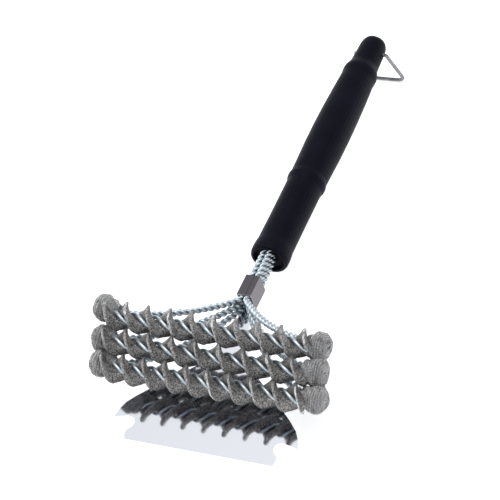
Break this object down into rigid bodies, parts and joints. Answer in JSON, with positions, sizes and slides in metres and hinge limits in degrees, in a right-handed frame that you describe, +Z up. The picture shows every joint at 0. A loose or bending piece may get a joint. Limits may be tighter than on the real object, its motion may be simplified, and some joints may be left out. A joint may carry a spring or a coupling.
{
  "type": "grill cleaning brush",
  "caption": "Long-handled grill brush with rows of twisted knitted-steel mesh held on twisted wire rods, a fan-shaped sheet scraper clamped below them and a swinging wire hanging loop.",
  "frame": {"origin": "centre of the bounding box's base, on the surface that the scraper's edge and the hanging loop rest on", "axes": "+Y from the brush head to the handle's rear end, +X along the coil rows, +Z up, away from the scraper"},
  "size_m": [0.2058, 0.4388, 0.0811],
  "materials": {
    "handle_plastic": "satin black moulding",
    "socket_plastic": "dull black",
    "scraper_steel": "polished sheet",
    "loop_steel": "bright plated wire",
    "knitted_steel": "fine knitted ribbon",
    "rod_steel": "bright drawn wire"
  },
  "bodies": {
    "brush": {"handle_grip": "handle_plastic", "rod_socket": "socket_plastic", "scraper": "scraper_steel", "row_1_mesh": "knitted_steel", "row_1_wire_a": "rod_steel", "row_1_wire_b": "rod_steel", "row_2_mesh": "knitted_steel", "row_2_wire_a": "rod_steel", "row_2_wire_b": "rod_steel", "row_3_mesh": "knitted_steel", "row_3_wire_a": "rod_steel", "row_3_wire_b": "rod_steel"},
    "loop": {"hanging_loop": "loop_steel"}
  },
  "joints": [
    {"name": "loop_swing", "type": "hinge", "parent": "brush", "child": "loop", "pos_m": [-0.0016, 0.19599, 0.04939], "axis": [1, 0, 0], "range_deg": [-90, 225]}
  ]
}
